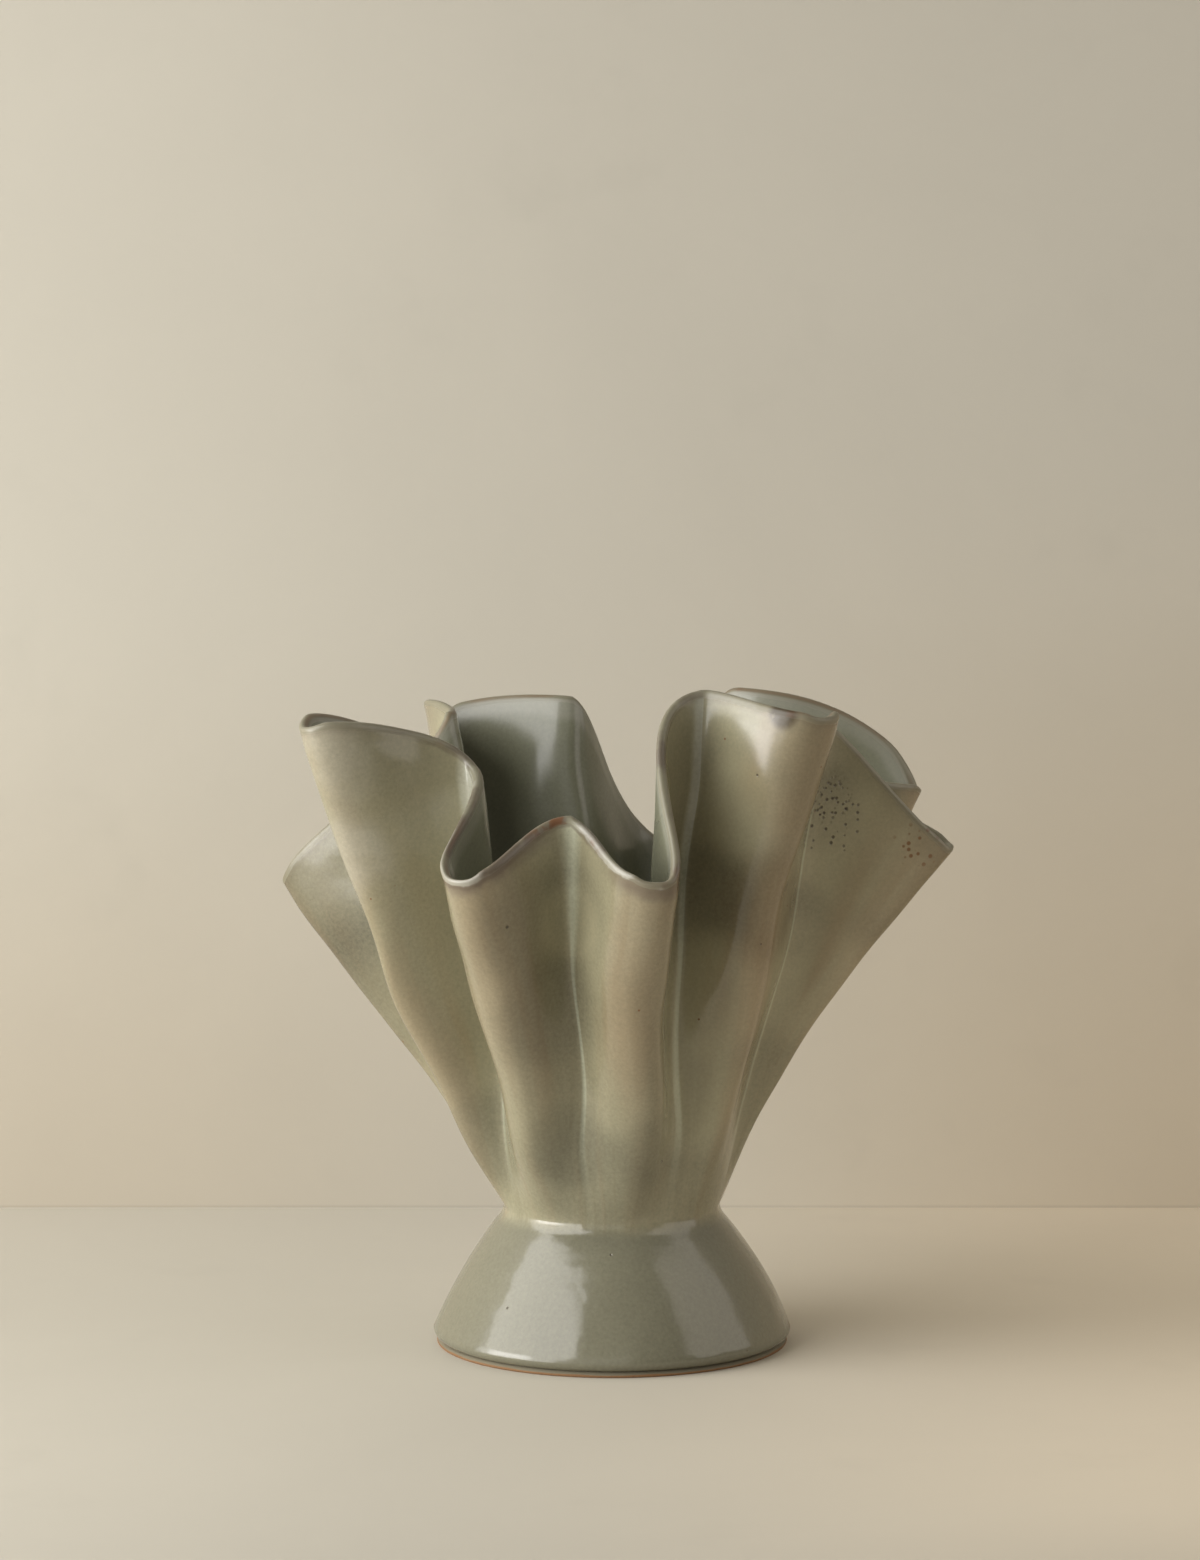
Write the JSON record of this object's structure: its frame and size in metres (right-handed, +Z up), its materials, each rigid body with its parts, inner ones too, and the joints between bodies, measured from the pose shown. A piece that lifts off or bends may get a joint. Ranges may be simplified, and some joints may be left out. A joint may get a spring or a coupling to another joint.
{
  "type": "fan vase",
  "caption": "Glazed stoneware vase: a tall open fan of deep upright pleats with a waving rim, narrowing to a sharp waist above a hollow flared foot.",
  "frame": {"origin": "centre of the flat underside, on the axis of the round foot", "axes": "+Z up out of the mouth, +X to the right and -Y to the front as in the picture"},
  "size_m": [0.309, 0.2392, 0.304],
  "materials": {
    "glaze": "glossy grey-green stoneware glaze, tan where it is thin on the crests, pale along the lip",
    "bare_clay": "matt unglazed tan stoneware"
  },
  "bodies": {
    "root": {"foot_ring": "bare_clay", "base_slab": "bare_clay", "foot_cone": "glaze", "waist_coil": "glaze", "pleat_right": "glaze", "pleat_back_right": "glaze", "pleat_back": "glaze", "pleat_back_left": "glaze", "pleat_left": "glaze", "pleat_front_left": "glaze", "pleat_front_mid_left": "glaze", "pleat_front_mid_right": "glaze", "pleat_front_right": "glaze"}
  },
  "joints": []
}
